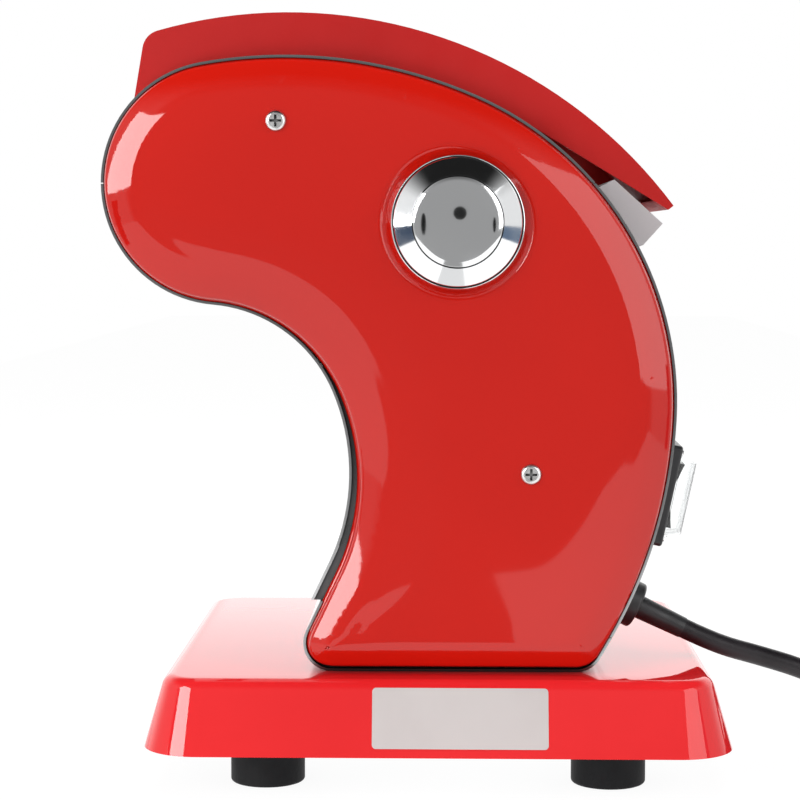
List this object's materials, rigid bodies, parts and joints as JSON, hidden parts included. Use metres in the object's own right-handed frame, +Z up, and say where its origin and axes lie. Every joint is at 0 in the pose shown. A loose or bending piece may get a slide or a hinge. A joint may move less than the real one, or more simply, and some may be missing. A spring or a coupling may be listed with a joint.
{
  "type": "electric pasta maker",
  "caption": "Countertop electric pasta roller and noodle cutter with a curved enamelled head, thickness dial, rear rocker switch, mains lead and a flat enamelled foot.",
  "frame": {"origin": "on the table under the middle of the machine without its mains lead", "axes": "+Z up; +X to the rear, where the switch and the mains lead are; -Y is the side with the thickness dial"},
  "size_m": [0.4104, 0.21, 0.2985],
  "materials": {
    "enamel_red": "deep gloss enamel",
    "pan_red": "deep gloss enamel",
    "hood_red": "satin powder coat",
    "stainless": "bright rolled sheet",
    "knob_chrome": "polished plating",
    "screw_steel": "zinc plated",
    "plated_steel": "zinc plated sheet",
    "roller_steel": "ground and plated",
    "gear_steel": "oiled machined steel",
    "gear_nylon": "moulded nylon",
    "bronze": "sintered, oil filled",
    "foot_rubber": "dull moulded",
    "black_plastic": "fine moulded grain",
    "rocker_plastic": "smooth",
    "boot_clear": "clear flexible vinyl",
    "cord_rubber": "satin jacket",
    "label_white": "blank vinyl sticker",
    "motor_paint": "black painted shell",
    "magnet_ferrite": "ferrite"
  },
  "bodies": {
    "root": {"base_label": "label_white", "base_pan": "pan_red", "base_plate": "plated_steel", "body_mount_screws": "screw_steel", "bottom_band": "stainless", "bracket_rivets": "stainless", "cord_coil": "cord_rubber", "cord_gland": "black_plastic", "cord_tie": "black_plastic", "cover_screws": "screw_steel", "cover_standoffs": "plated_steel", "cutter_bushes": "bronze", "fixed_roller_bushes": "bronze", "foot_posts": "plated_steel", "foot_screws": "screw_steel", "frame_screws": "screw_steel", "front_band": "stainless", "gear_side_cover": "enamel_red", "gear_side_frame": "plated_steel", "hood_bracket": "stainless", "idler_studs": "plated_steel", "index_plate": "stainless", "knob_side_cover": "enamel_red", "knob_side_frame": "plated_steel", "motor_end_cap": "motor_paint", "motor_housing": "motor_paint", "mount_bars": "plated_steel", "noodle_guides": "stainless", "plug_body": "black_plastic", "plug_pins": "screw_steel", "power_cord": "cord_rubber", "rear_band": "stainless", "rubber_feet": "foot_rubber", "sheet_guides": "stainless", "stator_magnets": "magnet_ferrite", "switch_body": "black_plastic", "switch_boot": "boot_clear", "tie_rods": "plated_steel", "top_band": "stainless"},
    "hood": {"feed_hood": "hood_red"},
    "rocker": {"switch_rocker": "rocker_plastic"},
    "dial": {"adjusting_yoke": "plated_steel"},
    "bush": {"floating_bushes": "bronze"},
    "adjustable_roller": {"adjustable_press_roller": "roller_steel", "adjustable_roller_gear": "gear_steel"},
    "knob": {"dial_knob": "knob_chrome"},
    "fixed_roller": {"fixed_press_roller": "roller_steel", "fixed_roller_gears": "gear_steel"},
    "idler_1": {"idler_gear_1": "gear_nylon"},
    "idler_2": {"idler_gear_2": "gear_nylon"},
    "narrow_right": {"narrow_cutter_right": "roller_steel", "narrow_right_gears": "gear_steel"},
    "narrow_left": {"narrow_cutter_left": "roller_steel", "narrow_left_gear": "gear_steel"},
    "wide_right": {"wide_cutter_right": "roller_steel", "wide_right_gears": "gear_steel"},
    "wide_left": {"wide_cutter_left": "roller_steel", "wide_left_gear": "gear_steel"},
    "compound": {"compound_gear": "gear_steel"},
    "rotor": {"motor_rotor": "gear_steel"}
  },
  "joints": [
    {"name": "fixed_roller_spin", "type": "hinge", "parent": "root", "child": "fixed_roller", "pos_m": [0.0415, 0, 0.1918], "axis": [0, -1, 0], "continuous": true},
    {"name": "dial_turn", "type": "hinge", "parent": "root", "child": "dial", "pos_m": [0.0153, 0, 0.218], "axis": [0, -1, 0], "range_deg": [0, 150]},
    {"name": "bush_float", "type": "hinge", "parent": "dial", "child": "bush", "pos_m": [0.01418, 0, 0.21865], "axis": [0, -1, 0], "range_deg": [-150, 0]},
    {"name": "adjustable_roller_spin", "type": "hinge", "parent": "bush", "child": "adjustable_roller", "pos_m": [0.01418, 0, 0.21865], "axis": [0, -1, 0], "continuous": true},
    {"name": "knob_pull", "type": "slide", "parent": "dial", "child": "knob", "axis": [0, -1, 0], "range_m": [0, 0.004]},
    {"name": "idler_1_spin", "type": "hinge", "parent": "root", "child": "idler_1", "pos_m": [-0.01065, 0, 0.21078], "axis": [0, -1, 0], "continuous": true},
    {"name": "narrow_right_spin", "type": "hinge", "parent": "root", "child": "narrow_right", "pos_m": [-0.03, 0, 0.23935], "axis": [0, -1, 0], "continuous": true},
    {"name": "narrow_left_spin", "type": "hinge", "parent": "root", "child": "narrow_left", "pos_m": [-0.0524, 0, 0.23935], "axis": [0, -1, 0], "continuous": true},
    {"name": "idler_2_spin", "type": "hinge", "parent": "root", "child": "idler_2", "pos_m": [-0.05209, 0, 0.22134], "axis": [0, -1, 0], "continuous": true},
    {"name": "wide_right_spin", "type": "hinge", "parent": "root", "child": "wide_right", "pos_m": [-0.0781, 0, 0.233], "axis": [0, -1, 0], "continuous": true},
    {"name": "wide_left_spin", "type": "hinge", "parent": "root", "child": "wide_left", "pos_m": [-0.1005, 0, 0.233], "axis": [0, -1, 0], "continuous": true},
    {"name": "compound_spin", "type": "hinge", "parent": "root", "child": "compound", "pos_m": [0.03298, 0, 0.15067], "axis": [0, -1, 0], "continuous": true},
    {"name": "rotor_spin", "type": "hinge", "parent": "root", "child": "rotor", "pos_m": [0.03789, 0, 0.12718], "axis": [0, -1, 0], "continuous": true},
    {"name": "hood_lift", "type": "slide", "parent": "root", "child": "hood", "axis": [0, 0, 1], "range_m": [0, 0.06]},
    {"name": "rocker_tip", "type": "hinge", "parent": "root", "child": "rocker", "pos_m": [0.09626, -0.045, 0.11123], "axis": [0, -1, 0], "range_deg": [0, 14]}
  ],
  "couplings": [
    {"joint": "adjustable_roller_spin", "follows": "fixed_roller_spin", "ratio": -1},
    {"joint": "bush_float", "follows": "dial_turn", "ratio": -1},
    {"joint": "idler_1_spin", "follows": "fixed_roller_spin", "ratio": -1.4667},
    {"joint": "narrow_right_spin", "follows": "fixed_roller_spin", "ratio": 2.75},
    {"joint": "narrow_left_spin", "follows": "fixed_roller_spin", "ratio": -2.75},
    {"joint": "idler_2_spin", "follows": "fixed_roller_spin", "ratio": -2},
    {"joint": "wide_right_spin", "follows": "fixed_roller_spin", "ratio": 2.75},
    {"joint": "wide_left_spin", "follows": "fixed_roller_spin", "ratio": -2.75},
    {"joint": "compound_spin", "follows": "fixed_roller_spin", "ratio": -3.6667},
    {"joint": "rotor_spin", "follows": "fixed_roller_spin", "ratio": 13.933}
  ]
}
